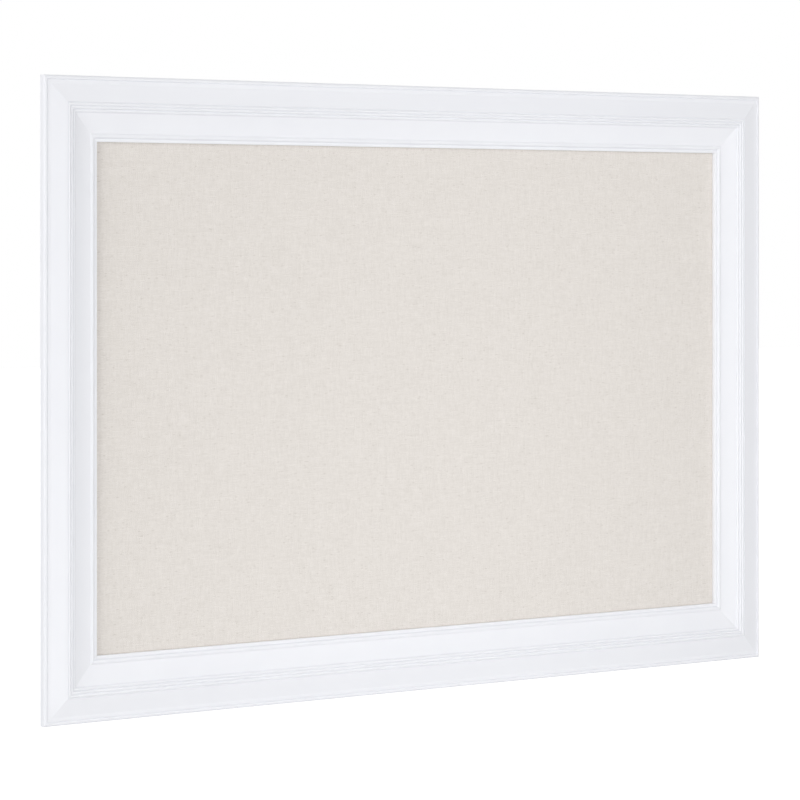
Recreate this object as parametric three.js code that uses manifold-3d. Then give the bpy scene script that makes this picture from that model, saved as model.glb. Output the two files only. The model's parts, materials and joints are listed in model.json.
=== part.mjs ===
// Fabric bulletin board: a linen-covered pin panel in a mitred and painted wooden moulding,
// with the fixings that hold it together and the hangers that carry it on a wall.
// Lengths are millimetres. +X is the viewer's right, +Y points into the wall and +Z is up.
// The origin is on the flat back of the top rail, in the middle of its length and its width.

import * as THREE from "three";
import { mergeVertices } from "three/addons/utils/BufferGeometryUtils.js";
import Module from "manifold-3d";

const wasm = await Module();
wasm.setup();

// Whole board, over the outer edges of the moulding
const boardWidth = 1146;
const boardHeight = 762;

// Fits
const seatGap = 0.3; // left between two pieces that touch
const panelPlay = 0.8; // all round the panel in its rabbet
const cutterOverrun = 1; // how far a cutter passes the face that it opens
const weldDistance = 0.001; // vertices closer than this are one

// Panel, layer by layer from the front
const linenThickness = 0.8;
const linenFold = 1.6; // outer radius of the linen where it turns over an edge
const hemWidth = 25;
const coreThickness = 6;
const coreEase = 0.6; // chamfer on the core's edges
const backingThickness = 2.5;
const backingEase = 0.4;

// Framer's points, flexible steel tabs over the backing board
const pointThickness = 0.5;
const pointWidth = 7;
const pointBite = 6; // length driven into the rabbet wall
const pointReach = 10; // length lying over the backing board
const pointShoulder = 3.5; // where the driven end starts to narrow
const pointCorner = 1.5;
const pointRecess = 1; // depth of the tabs below the flat back
const pointFromCorner = 110; // first tab, from the outer corner of its rail
const pointsAcross = 6;
const pointsUpright = 4;

// Moulding, outline behind its face
const railWidth = 77.5;
const rabbetWidth = 6.5;
const lipThickness = 5.1;
const lipRound = 0.8;
const edgeBand = 7.4; // upright part of the outer side, just behind its arris
const rakeInset = 10.5; // how far the raked part of the side draws the back in

// Moulded face, member by member from the outer edge to the sight edge.
// A run goes inwards, a rise forward and a fall back, and a swell is how far a member bulges.
const outerBeadRun = 4.3;
const outerBeadRise = 0.9;
const outerBeadSwell = 0.6;
const filletQuirkRun = 0.7;
const filletQuirkFall = 0.7;
const filletRun = 4.7;
const filletRise = 0.3;
const filletSwell = 0.2;
const bevelRun = 21.3;
const bevelRise = 3.7;
const bevelQuirkRun = 0.5;
const bevelQuirkFall = 0.4;
const crestReedRun = 3.6;
const crestReedRise = 0.1;
const crestReedSwell = 0.7;
const crestQuirkRun = 0.6;
const crestQuirkFall = 0.4;
const middleReedRun = 3.3;
const middleReedFall = 0.2;
const middleReedSwell = 0.6;
const reedQuirkRun = 0.5;
const reedQuirkFall = 0.8;
const innerReedRun = 3.3;
const innerReedFall = 0.6;
const innerReedSwell = 0.6;
const coveQuirkRun = 0.6;
const coveQuirkFall = 0.6;
const coveFall = 5;
const coveHollow = 0.6;
const sightBeadRun = 5.3;
const sightBeadSwell = 1;
const sightQuirkRun = 0.6;
const sightQuirkFall = 0.8;
const lipRun = 4;
const lipFall = 0.2;
const lipSwell = 0.3;
const swellSteps = 6; // straight steps in a swelled or hollowed member

// V-nails across the mitres
const nailHeight = 10;
const nailSheet = 0.8;
const nailLeg = 5;
const nailCurl = 1.6; // turned-out end of each leg
const outerNailInset = 27;
const innerNailInset = 55;

// Hangers: a steel strap folded round the bar of a D-ring
const hangerFromTop = 190; // ring's bar, from the top edge of the board
const strapGauge = 1;
const strapWidth = 12.6;
const strapLength = 44; // from the ring's bar to the rounded end
const leafGap = 0.3; // between the two leaves of the folded strap
const leafBend = 0.8; // inner bend where the outer leaf leaves the fold
const wireRadius = 1.4;
const barPlay = 0.3; // round the ring's bar in the fold
const ringSidePlay = 0.5; // between the strap's edge and the ring's arm
const ringCorner = 1.8;
const ringArm = 4.5; // from the bar to where the bow begins
const wireSides = 10;

// Pan-head wood screws
const screwLength = 12;
const screwRadius = 1.7;
const screwTip = 3.2;
const screwHeadRadius = 3.4;
const screwHeadHeight = 2.2;
const screwHeadSide = 0.7;
const recessLength = 3.8;
const recessWidth = 0.9;
const recessDepth = 1.1;
const upperScrewDrop = 24; // below the ring's bar
const lowerScrewDrop = 37;
const roundSteps = 20;

// Soft bumpers on the lower back corners
const bumperRadius = 6.4;
const bumperHeight = 3.4;
const bumperRim = 0.9;
const bumperFromSide = 125;
const domeSteps = 5;

// Sizes worked out from those above
const halfWidth = boardWidth / 2;
const halfHeight = boardHeight / 2;
const rabbetWall = railWidth - rabbetWidth; // from the outer edge
const backMiddle = (rakeInset + rabbetWall) / 2; // middle of the flat back, from the outer edge
const backingBack = pointRecess + pointThickness + seatGap; // forward of the flat back, as those below
const backingFront = backingBack + backingThickness;
const hemBack = backingFront + seatGap;
const coreBack = hemBack + linenThickness + seatGap;
const coreFront = coreBack + coreThickness;
const linenFront = coreFront + seatGap + linenThickness;
const lipBack = linenFront + seatGap;
const lipFront = lipBack + lipThickness;
const panelWidth = boardWidth - rabbetWall * 2 - panelPlay * 2;
const panelHeight = boardHeight - rabbetWall * 2 - panelPlay * 2;
const coreWrap = linenThickness + seatGap; // room for the linen round the core

const faceMembers = [
  { run: outerBeadRun, rise: outerBeadRise, swell: outerBeadSwell },
  { run: filletQuirkRun, rise: -filletQuirkFall, swell: 0 },
  { run: filletRun, rise: filletRise, swell: filletSwell },
  { run: bevelRun, rise: bevelRise, swell: 0 },
  { run: bevelQuirkRun, rise: -bevelQuirkFall, swell: 0 },
  { run: crestReedRun, rise: crestReedRise, swell: crestReedSwell },
  { run: crestQuirkRun, rise: -crestQuirkFall, swell: 0 },
  { run: middleReedRun, rise: -middleReedFall, swell: middleReedSwell },
  { run: reedQuirkRun, rise: -reedQuirkFall, swell: 0 },
  { run: innerReedRun, rise: -innerReedFall, swell: innerReedSwell },
  { run: coveQuirkRun, rise: -coveQuirkFall, swell: 0 },
  { run: 0, rise: -coveFall, swell: -coveHollow },
  { run: sightBeadRun, rise: 0, swell: sightBeadSwell },
  { run: sightQuirkRun, rise: -sightQuirkFall, swell: 0 },
  { run: lipRun - lipRound, rise: -lipFall, swell: lipSwell },
];
const cove = faceMembers.find((member) => member.run === 0);
cove.run = faceMembers.reduce((left, member) => left - member.run, railWidth - lipRound);
const edgeForward = faceMembers.reduce((height, member) => height - member.rise, lipFront);

const finishes = {
  paintedWood: new THREE.MeshStandardMaterial({ color: 0xf3f3f6, roughness: 0.45 }),
  linen: new THREE.MeshStandardMaterial({ color: 0xe0dcd5, roughness: 0.95 }),
  fibreboard: new THREE.MeshStandardMaterial({ color: 0xb79a72, roughness: 0.95 }),
  hardboard: new THREE.MeshStandardMaterial({ color: 0x6b4a30, roughness: 0.8 }),
  zincSteel: new THREE.MeshStandardMaterial({ color: 0xb9bcc0, roughness: 0.35, metalness: 1 }),
  springSteel: new THREE.MeshStandardMaterial({ color: 0x55585c, roughness: 0.4, metalness: 1 }),
  silicone: new THREE.MeshStandardMaterial({ color: 0xe8e8e4, roughness: 0.3 }),
};

function piece(name, geometry, finish) {
  const mesh = new THREE.Mesh(geometry, finish);
  mesh.name = name;
  return mesh;
}

// A closed geometry as a solid whose shared vertices are one.
function solidOf(geometry) {
  const bare = geometry.clone();
  bare.deleteAttribute("normal");
  bare.deleteAttribute("uv");
  const merged = mergeVertices(bare, weldDistance);
  const mesh = new wasm.Mesh({
    numProp: 3,
    vertProperties: merged.getAttribute("position").array,
    triVerts: new Uint32Array(merged.index.array),
  });
  return new wasm.Manifold(mesh);
}

function geometryOf(solid) {
  const mesh = solid.getMesh();
  const shared = new THREE.BufferGeometry();
  shared.setAttribute("position", new THREE.BufferAttribute(mesh.vertProperties, mesh.numProp));
  shared.setIndex(new THREE.BufferAttribute(mesh.triVerts, 1));
  const faceted = shared.toNonIndexed();
  faceted.computeVertexNormals();
  return faceted;
}

function cutAway(geometry, cutters) {
  const left = cutters.reduce((solid, cutter) => solid.subtract(solidOf(cutter)), solidOf(geometry));
  return geometryOf(left);
}

// An outline drawn on the board's back: its X stays, its Y becomes Z, and it grows forward.
function plateFrom(outline, thickness, curveSegments = swellSteps) {
  const plate = new THREE.ExtrudeGeometry(outline, {
    depth: thickness,
    bevelEnabled: false,
    curveSegments,
  });
  return plate.rotateX(Math.PI / 2);
}

// Section of the moulding: X runs inwards from the outer edge and Y forward from the flat back.
function mouldingSection() {
  const section = new THREE.Shape();
  section.moveTo(0, edgeForward - edgeBand);
  section.lineTo(0, edgeForward);
  for (const { run, rise, swell } of faceMembers) {
    const start = section.currentPoint.clone();
    const end = start.clone().add(new THREE.Vector2(run, rise));
    if (swell === 0) {
      section.lineTo(end.x, end.y);
      continue;
    }
    const bulge = new THREE.Vector2(-rise, run).setLength(Math.abs(swell) * 2);
    const middle = start.clone().add(end).divideScalar(2);
    const pull = middle.addScaledVector(bulge, Math.sign(swell));
    section.quadraticCurveTo(pull.x, pull.y, end.x, end.y);
  }
  section.quadraticCurveTo(railWidth, lipFront, railWidth, lipFront - lipRound);
  section.lineTo(railWidth, lipBack);
  section.lineTo(rabbetWall, lipBack);
  section.lineTo(rabbetWall, 0);
  section.lineTo(rakeInset, 0);
  section.closePath();
  return section;
}

// A length of moulding mitred at both ends. It lies along X with its flat back on Y = 0,
// its face towards -Y, its outer edge on Z = 0 and its sight edge below.
// The mitred faces stand half the seat gap back from the true mitre.
function mitredLength(length) {
  const rail = new THREE.ExtrudeGeometry(mouldingSection(), {
    depth: length,
    bevelEnabled: false,
    curveSegments: swellSteps,
  });
  const places = rail.getAttribute("position");
  const setBack = (seatGap / 2) * Math.SQRT2;
  for (let i = 0; i < places.count; i += 1) {
    const inset = places.getX(i);
    const forward = places.getY(i);
    const halfLength = length / 2 - inset - setBack;
    const end = places.getZ(i) < length / 2 ? 1 : -1;
    places.setXYZ(i, end * halfLength, -forward, -inset);
  }
  return rail;
}

// The four sides of the frame, each with its own turn about Y, distance from the centre and tabs.
const sides = [
  { side: "top", node: "frame_top_rail", turn: 0, length: boardWidth, out: halfHeight },
  { side: "right", node: "frame_right_stile", turn: Math.PI / 2, length: boardHeight, out: halfWidth },
  { side: "bottom", node: "frame_bottom_rail", turn: Math.PI, length: boardWidth, out: halfHeight },
  { side: "left", node: "frame_left_stile", turn: -Math.PI / 2, length: boardHeight, out: halfWidth },
];

// Centres of the tabs along a side, evenly spaced between the two nearest its corners.
function pointPlaces({ side, length }) {
  const count = side === "top" || side === "bottom" ? pointsAcross : pointsUpright;
  const span = length - pointFromCorner * 2;
  return Array.from({ length: count }, (_, i) => (i / (count - 1)) * span - span / 2);
}

// A tab's outline: the arrow-shaped end goes up into the wood and the rounded end lies over the board.
function pointOutline() {
  const half = pointWidth / 2;
  const outline = new THREE.Shape();
  outline.moveTo(-half, pointShoulder);
  outline.lineTo(-half, pointCorner - pointReach);
  outline.quadraticCurveTo(-half, -pointReach, pointCorner - half, -pointReach);
  outline.lineTo(half - pointCorner, -pointReach);
  outline.quadraticCurveTo(half, -pointReach, half, pointCorner - pointReach);
  outline.lineTo(half, pointShoulder);
  outline.lineTo(0, pointBite);
  outline.closePath();
  return outline;
}

function pointSlot() {
  const depth = pointBite + seatGap + cutterOverrun;
  const slot = new THREE.BoxGeometry(pointWidth + seatGap * 2, pointThickness + seatGap * 2, depth);
  return slot.translate(0, -pointRecess - pointThickness / 2, depth / 2 - cutterOverrun);
}

// A strip of sheet bent along a line of points, thick by half to each side and longer by grow.
function bentStrip(line, half, grow) {
  const last = line.length - 1;
  const along = line.slice(1).map((place, i) => place.clone().sub(line[i]).normalize());
  const reachBack = along[0].clone().multiplyScalar(-grow);
  const reachOn = along[last - 1].clone().multiplyScalar(grow);
  const left = [];
  const right = [];
  line.forEach((place, i) => {
    const before = along[Math.max(i - 1, 0)];
    const after = along[Math.min(i, last - 1)];
    const mean = before.clone().add(after).normalize();
    const across = new THREE.Vector2(-mean.y, mean.x);
    across.multiplyScalar(half / mean.dot(before));
    const centre = place.clone();
    if (i === 0) centre.add(reachBack);
    if (i === last) centre.add(reachOn);
    left.push(centre.clone().add(across));
    right.unshift(centre.clone().sub(across));
  });
  return new THREE.Shape([...left, ...right]);
}

// A V-nail seen from the back: its point looks up and its legs end in turned-out curls.
function nailOutline(grow) {
  const leg = nailLeg * Math.SQRT1_2;
  const line = [
    new THREE.Vector2(-leg - nailCurl, -leg),
    new THREE.Vector2(-leg, -leg),
    new THREE.Vector2(0, 0),
    new THREE.Vector2(leg, -leg),
    new THREE.Vector2(leg + nailCurl, -leg),
  ];
  return bentStrip(line, nailSheet / 2 + grow, grow);
}

// Every V-nail, with its place and turn in the board's own frame.
const nails = [];
for (const [vertical, up] of [["top", 1], ["bottom", -1]]) {
  for (const [horizontal, right] of [["left", -1], ["right", 1]]) {
    for (const [row, inset] of [["outer", outerNailInset], ["inner", innerNailInset]]) {
      nails.push({
        node: `v_nail_${vertical}_${horizontal}_${row}`,
        sides: [vertical, horizontal],
        place: new THREE.Vector3(right * (halfWidth - inset), 0, up * (halfHeight - inset)),
        turn: Math.atan2(right, up),
      });
    }
  }
}

function nailMesh({ node, place, turn }) {
  const mesh = piece(node, plateFrom(nailOutline(0), nailHeight), finishes.zincSteel);
  mesh.position.copy(place);
  mesh.position.y = -seatGap;
  mesh.rotation.y = turn;
  return mesh;
}

function nailPocket({ place, turn }) {
  const pocket = plateFrom(nailOutline(seatGap), nailHeight + seatGap * 2 + cutterOverrun);
  return pocket.rotateY(turn).translate(place.x, cutterOverrun, place.z);
}

// The hangers' places in the board's own frame
const ringBarOut = seatGap + strapGauge + barPlay + wireRadius; // centre of the bar, behind the flat back
const strapFace = seatGap + strapGauge * 2 + leafGap; // outer face of the strap, behind the flat back
const hangers = [
  { side: "left", x: backMiddle - halfWidth },
  { side: "right", x: halfWidth - backMiddle },
];
const screwDrops = [
  ["upper", upperScrewDrop],
  ["lower", lowerScrewDrop],
];

// Side view of the folded strap: X runs up along the strap from the ring's bar, Y out of the wood.
// One leaf lies on the wood, turns round the bar and comes back over itself.
function strapSideView() {
  const inner = wireRadius + barPlay;
  const outer = inner + strapGauge;
  const end = -strapLength;
  const outerLeafInside = strapFace - strapGauge;
  const bendCentreY = strapFace + leafBend;
  const bendRise = bendCentreY - ringBarOut;
  const bendCentreX = -Math.sqrt((outer + leafBend) ** 2 - bendRise ** 2);
  const bendAngle = Math.atan2(bendRise, bendCentreX);
  const slitDrop = outerLeafInside - ringBarOut;
  const slitX = -Math.sqrt(inner ** 2 - slitDrop ** 2);
  const view = new THREE.Shape();
  view.moveTo(end, seatGap);
  view.lineTo(0, seatGap);
  view.absarc(0, ringBarOut, outer, -Math.PI / 2, bendAngle, false);
  view.absarc(bendCentreX, bendCentreY, leafBend, bendAngle - Math.PI, -Math.PI / 2, true);
  view.lineTo(end, strapFace);
  view.lineTo(end, outerLeafInside);
  view.lineTo(slitX, outerLeafInside);
  view.absarc(0, ringBarOut, inner, Math.atan2(slitDrop, slitX), -Math.PI / 2, true);
  view.lineTo(end, seatGap + strapGauge);
  view.closePath();
  return view;
}

function strapPlan() {
  const half = strapWidth / 2;
  const top = wireRadius + barPlay + strapGauge + cutterOverrun;
  const plan = new THREE.Shape();
  plan.moveTo(half, top);
  plan.lineTo(-half, top);
  plan.lineTo(-half, half - strapLength);
  plan.absarc(0, half - strapLength, half, Math.PI, Math.PI * 2, false);
  plan.closePath();
  return plan;
}

function roundCutter(radius, from, to, z) {
  const bar = new THREE.CylinderGeometry(radius, radius, to - from, roundSteps);
  return bar.translate(0, (from + to) / 2, z);
}

function strapGeometry() {
  const folded = new THREE.ExtrudeGeometry(strapSideView(), {
    depth: strapWidth,
    bevelEnabled: false,
    curveSegments: swellSteps,
  });
  folded.rotateY(-Math.PI / 2).translate(strapWidth / 2, 0, 0);
  const height = ringBarOut * 2 + cutterOverrun * 2;
  const plan = plateFrom(strapPlan(), height).translate(0, height - cutterOverrun, 0);
  const trimmed = geometryOf(solidOf(folded).intersect(solidOf(plan)));
  const holes = screwDrops.map(([, drop]) =>
    roundCutter(screwRadius + seatGap, -cutterOverrun, strapFace + cutterOverrun, -drop),
  );
  return cutAway(trimmed, holes);
}

// The D-ring's centre line, hanging below its bar: X is across the strap and Y is up.
const bowRadius = strapWidth / 2 + ringSidePlay + wireRadius;
function ringLine() {
  const line = new THREE.Path();
  line.moveTo(ringCorner - bowRadius, 0);
  line.quadraticCurveTo(-bowRadius, 0, -bowRadius, -ringCorner);
  line.lineTo(-bowRadius, -ringArm);
  line.absarc(0, -ringArm, bowRadius, Math.PI, Math.PI * 2, false);
  line.lineTo(bowRadius, -ringCorner);
  line.quadraticCurveTo(bowRadius, 0, bowRadius - ringCorner, 0);
  return line;
}

// Round wire bent into a flat closed loop in the X-Z plane.
function wireLoop(line, radius) {
  const centres = line.getPoints(swellSteps);
  const count = centres.length;
  const places = [];
  const faces = [];
  centres.forEach((centre, i) => {
    const before = centres[(i + count - 1) % count];
    const after = centres[(i + 1) % count];
    const along = after.clone().sub(before).normalize();
    for (let k = 0; k < wireSides; k += 1) {
      const angle = (k / wireSides) * Math.PI * 2;
      const across = Math.cos(angle) * radius;
      places.push(centre.x - along.y * across, Math.sin(angle) * radius, centre.y + along.x * across);
      const here = i * wireSides + k;
      const beside = i * wireSides + ((k + 1) % wireSides);
      const on = ((i + 1) % count) * wireSides + k;
      const onBeside = ((i + 1) % count) * wireSides + ((k + 1) % wireSides);
      faces.push(here, on, beside, beside, on, onBeside);
    }
  });
  const loop = new THREE.BufferGeometry();
  loop.setAttribute("position", new THREE.Float32BufferAttribute(places, 3));
  loop.setIndex(faces);
  loop.computeVertexNormals();
  return loop;
}

// The loose ring leans on the strap, so it hangs this far from plumb.
function ringLean() {
  const rise = strapFace + seatGap + wireRadius - ringBarOut;
  const reach = ringArm + Math.sqrt(bowRadius ** 2 - (strapWidth / 2) ** 2);
  return Math.asin(rise / reach);
}

function screwGeometry() {
  const profile = new THREE.Path();
  profile.moveTo(0, -screwLength);
  profile.lineTo(screwRadius, screwTip - screwLength);
  profile.lineTo(screwRadius, 0);
  profile.lineTo(screwHeadRadius, 0);
  profile.lineTo(screwHeadRadius, screwHeadSide);
  profile.quadraticCurveTo(screwHeadRadius, screwHeadHeight, 0, screwHeadHeight);
  const screw = new THREE.LatheGeometry(profile.getPoints(domeSteps), roundSteps);
  const depth = recessDepth + cutterOverrun;
  const middle = screwHeadHeight - recessDepth + depth / 2;
  const recess = [
    new THREE.BoxGeometry(recessLength, depth, recessWidth).translate(0, middle, 0),
    new THREE.BoxGeometry(recessWidth, depth, recessLength).translate(0, middle, 0),
  ];
  return cutAway(screw, recess);
}

function hangerGroup({ side, x }) {
  const group = new THREE.Group();
  group.position.set(x, 0, halfHeight - hangerFromTop);
  group.add(piece(`hanger_strap_${side}`, strapGeometry(), finishes.zincSteel));
  const ring = piece(`hanger_ring_${side}`, wireLoop(ringLine(), wireRadius), finishes.zincSteel);
  ring.position.y = ringBarOut;
  ring.rotation.x = ringLean();
  group.add(ring);
  for (const [row, drop] of screwDrops) {
    const screw = piece(`hanger_screw_${side}_${row}`, screwGeometry(), finishes.zincSteel);
    screw.position.set(0, strapFace + seatGap, -drop);
    group.add(screw);
  }
  return group;
}

function screwHoles({ x }) {
  const depth = screwLength - strapFace;
  return screwDrops.map(([, drop]) =>
    roundCutter(screwRadius + seatGap, -depth, cutterOverrun, halfHeight - hangerFromTop - drop).translate(
      x,
      0,
      0,
    ),
  );
}

// One side of the frame with its tabs, in a group turned and moved to its place.
function sideGroup(spec) {
  const group = new THREE.Group();
  group.rotation.y = spec.turn;
  group.position.set(Math.sin(spec.turn) * spec.out, 0, Math.cos(spec.turn) * spec.out);
  group.updateMatrix();
  const toSide = group.matrix.clone().invert();
  const pockets = nails.filter((nail) => nail.sides.includes(spec.side)).map(nailPocket);
  const holes = hangers.filter((hanger) => hanger.side === spec.side).flatMap(screwHoles);
  const cutters = [...pockets, ...holes].map((cutter) => cutter.applyMatrix4(toSide));
  const places = pointPlaces(spec);
  const slots = places.map((x) => pointSlot().translate(x, 0, -rabbetWall));
  const rail = cutAway(mitredLength(spec.length), [...cutters, ...slots]);
  group.add(piece(spec.node, rail, finishes.paintedWood));
  places.forEach((x, i) => {
    const tab = plateFrom(pointOutline(), pointThickness);
    const mesh = piece(`framers_point_${spec.side}_${i + 1}`, tab, finishes.springSteel);
    mesh.position.set(x, -pointRecess, -rabbetWall);
    group.add(mesh);
  });
  return group;
}

// A shape whose every level is a rectangle. The levels are [inset from the sides, forward of the
// flat back], from the first, closed by a face, to the last, closed by another.
function rectangularShell(width, height, levels) {
  const places = [];
  const faces = [];
  for (const [inset, forward] of levels) {
    const x = width / 2 - inset;
    const z = height / 2 - inset;
    places.push(-x, -forward, -z, x, -forward, -z, x, -forward, z, -x, -forward, z);
  }
  const end = (levels.length - 1) * 4;
  faces.push(0, 1, 2, 0, 2, 3);
  faces.push(end, end + 2, end + 1, end, end + 3, end + 2);
  for (let level = 0; level < end; level += 4) {
    for (let k = 0; k < 4; k += 1) {
      const here = level + k;
      const beside = level + ((k + 1) % 4);
      faces.push(here, here + 4, beside, beside, here + 4, beside + 4);
    }
  }
  const shell = new THREE.BufferGeometry();
  shell.setAttribute("position", new THREE.Float32BufferAttribute(places, 3));
  shell.setIndex(faces);
  return shell;
}

// The linen goes over the core's face, round its edges and on to its back, where the hem is glued.
function linenLevels() {
  const turn = new THREE.Path();
  turn.moveTo(linenFold, linenFront);
  turn.quadraticCurveTo(0, linenFront, 0, linenFront - linenFold);
  turn.lineTo(0, hemBack + linenFold);
  turn.quadraticCurveTo(0, hemBack, linenFold, hemBack);
  const outside = turn.getPoints(domeSteps).map(({ x, y }) => [x, y]);
  const inside = [
    [hemWidth, hemBack],
    [hemWidth, hemBack + linenThickness],
    [linenThickness, hemBack + linenThickness],
    [linenThickness, linenFront - linenThickness],
  ];
  return [...outside, ...inside];
}

// A flat sheet with its edges eased by a small chamfer.
function sheetLevels(back, front, ease) {
  return [
    [ease, front],
    [0, front - ease],
    [0, back + ease],
    [ease, back],
  ];
}

function panelPieces() {
  const cover = rectangularShell(panelWidth, panelHeight, linenLevels());
  const coreSize = [panelWidth - coreWrap * 2, panelHeight - coreWrap * 2];
  const core = rectangularShell(...coreSize, sheetLevels(coreBack, coreFront, coreEase));
  const backing = rectangularShell(
    panelWidth,
    panelHeight,
    sheetLevels(backingBack, backingFront, backingEase),
  );
  return [
    piece("linen_cover", cover, finishes.linen),
    piece("pin_core", core, finishes.fibreboard),
    piece("backing_board", backing, finishes.hardboard),
  ];
}

function bumperMesh({ side, x }) {
  const profile = new THREE.Path();
  profile.moveTo(0, 0);
  profile.lineTo(bumperRadius, 0);
  profile.lineTo(bumperRadius, bumperRim);
  profile.quadraticCurveTo(bumperRadius, bumperHeight, 0, bumperHeight);
  const dome = new THREE.LatheGeometry(profile.getPoints(domeSteps), roundSteps);
  const mesh = piece(`wall_bumper_${side}`, dome, finishes.silicone);
  mesh.position.set(x, seatGap, backMiddle - halfHeight);
  return mesh;
}

// The board, about its own centre
const board = new THREE.Group();
board.add(...sides.map(sideGroup));
board.add(...nails.map(nailMesh));
board.add(...panelPieces());
board.add(...hangers.map(hangerGroup));
board.add(bumperMesh({ side: "left", x: bumperFromSide - halfWidth }));
board.add(bumperMesh({ side: "right", x: halfWidth - bumperFromSide }));
board.position.z = backMiddle - halfHeight;

const root = new THREE.Group();
root.add(board);

export default root;
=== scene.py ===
# %% [markdown]
# # A linen pinboard in a painted moulding
#
# The board is a panel of soft fibreboard wrapped in oatmeal linen. It sits behind the lip of a wide
# white moulding, mitred at the corners, and hangs on two D-rings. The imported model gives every
# piece's place in metres, so this file only has to give each one its true surface and finish.

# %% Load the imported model
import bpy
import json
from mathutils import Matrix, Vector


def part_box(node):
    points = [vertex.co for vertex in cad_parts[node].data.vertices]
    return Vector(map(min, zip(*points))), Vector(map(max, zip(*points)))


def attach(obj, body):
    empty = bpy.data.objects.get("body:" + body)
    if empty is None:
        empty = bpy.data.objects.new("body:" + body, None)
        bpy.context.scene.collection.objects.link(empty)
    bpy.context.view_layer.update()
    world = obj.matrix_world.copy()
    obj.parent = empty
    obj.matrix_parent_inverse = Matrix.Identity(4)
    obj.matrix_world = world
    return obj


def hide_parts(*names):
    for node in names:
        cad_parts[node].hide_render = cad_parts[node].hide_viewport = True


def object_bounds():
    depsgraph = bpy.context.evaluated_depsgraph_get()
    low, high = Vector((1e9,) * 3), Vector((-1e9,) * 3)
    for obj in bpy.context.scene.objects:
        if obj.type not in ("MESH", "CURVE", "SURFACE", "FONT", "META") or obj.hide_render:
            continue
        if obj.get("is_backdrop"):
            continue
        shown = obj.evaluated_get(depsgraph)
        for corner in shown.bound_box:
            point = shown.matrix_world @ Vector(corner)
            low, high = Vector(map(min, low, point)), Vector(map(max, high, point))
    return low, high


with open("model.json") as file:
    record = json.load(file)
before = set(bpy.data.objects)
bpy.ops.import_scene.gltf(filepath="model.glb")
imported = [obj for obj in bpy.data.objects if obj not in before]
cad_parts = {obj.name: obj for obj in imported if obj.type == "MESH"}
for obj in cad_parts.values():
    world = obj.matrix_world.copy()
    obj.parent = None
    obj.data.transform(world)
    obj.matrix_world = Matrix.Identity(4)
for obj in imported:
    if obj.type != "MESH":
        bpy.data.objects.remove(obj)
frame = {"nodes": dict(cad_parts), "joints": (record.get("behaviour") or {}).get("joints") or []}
cad_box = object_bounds()

# %% [markdown]
# ## Tools for the whole file
#
# Sizes are written in millimetres, as a maker would, and turned to metres by one factor. Colours
# are written as hex values. A shader works with linear light, so one function converts them.
# One more function adds a shader node: it sets the node's options, and fills each input with
# either a value or the output of another node. Nodes could be wired by hand in the editor, but
# written out they can be read, compared and changed in one place. Two small functions put an
# object in the scene and start a material.

# %% Sizes, colours, nodes and objects
import json
import math

import bmesh
import bpy
from mathutils import Matrix, Vector, noise

MM = 0.001


def linear(hex_colour):
    """An sRGB colour such as F1F2F6 as the linear RGBA that a shader takes."""
    shares = [int(hex_colour[i : i + 2], 16) / 255 for i in (0, 2, 4)]
    return [s / 12.92 if s <= 0.04045 else ((s + 0.055) / 1.055) ** 2.4 for s in shares] + [1]


def add_node(tree, kind, inputs=None, **settings):
    """Adds a node. An input takes a value, a socket, or a node, meaning its first output."""
    node = tree.nodes.new("ShaderNode" + kind)
    for name, value in settings.items():
        setattr(node, name, value)
    for name, value in (inputs or {}).items():
        if isinstance(value, bpy.types.Node):
            value = value.outputs[0]
        if isinstance(value, bpy.types.NodeSocket):
            tree.links.new(value, node.inputs[name])
        else:
            node.inputs[name].default_value = value
    return node


def add_object(name, data):
    """An object that shows this data, in the scene."""
    made = bpy.data.objects.new(name, data)
    bpy.context.scene.collection.objects.link(made)
    return made


def new_finish(name, **sockets):
    """A material with these sockets set on its shader. Returns it, its tree and its shader."""
    finish = bpy.data.materials.new(name)
    finish.use_nodes = True
    shader = finish.node_tree.nodes["Principled BSDF"]
    for socket, value in sockets.items():
        shader.inputs[socket.replace("_", " ")].default_value = value
    return finish, finish.node_tree, shader


print("mid grey 808080 in linear light:", [round(share, 3) for share in linear("808080")])

# %% [markdown]
# ## The camera
#
# The picture is taken from the front left with a long lens. Upright lines stay upright in it, so
# the camera is level, and it sees the whole board below its own height by shifting the lens down
# instead of tilting. The board's four corners and the slant of its rails fix the place.

# %% Set the camera
PHOTO_PIXELS = 800
FOCAL_PIXELS = 3634
HORIZON_PIXEL = 232.9  # the camera's own height in the picture, from its top edge
CAMERA_PLACE = (-2.8495, -3.6236, -0.14425)
HEADING = 37.905  # degrees to the right of straight on

eye = add_object("camera", bpy.data.cameras.new("camera"))
eye.location = CAMERA_PLACE
eye.rotation_euler = (math.radians(90), 0, math.radians(-HEADING))
eye.data.sensor_width = 36
eye.data.lens = FOCAL_PIXELS / PHOTO_PIXELS * eye.data.sensor_width
eye.data.shift_y = (HORIZON_PIXEL - PHOTO_PIXELS / 2) / PHOTO_PIXELS
eye.data.clip_end = 100
bpy.context.scene.camera = eye
bpy.context.scene.view_settings.view_transform = "Standard"
print(f"lens {eye.data.lens:.1f} mm, lens shift {eye.data.shift_y:.4f}")

# %% [markdown]
# ## Floor, white surround and light
#
# The board hangs clear of a plain pale floor. Paper would be lit until it burns out, but then
# white paint would burn out with it. So the surround is white only where the camera, a reflection
# or something see-through looks at it: it lights the board with a softer, even glow. Near the
# board the floor keeps part of its own lit colour, which is what lets a shadow show.

# %% Surround
GLOW = 0.42  # even light from all round, where 1 would show a white card as white


def seen_directly(tree):
    """1 for rays from the camera, a reflection or a see-through material, otherwise 0."""
    path = add_node(tree, "LightPath")
    camera, glossy, through = (
        path.outputs[f"Is {kind} Ray"] for kind in ("Camera", "Glossy", "Transmission")
    )
    either = add_node(tree, "Math", {0: camera, 1: glossy}, operation="ADD")
    return add_node(tree, "Math", {0: either, 1: through}, operation="ADD", use_clamp=True)


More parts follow.
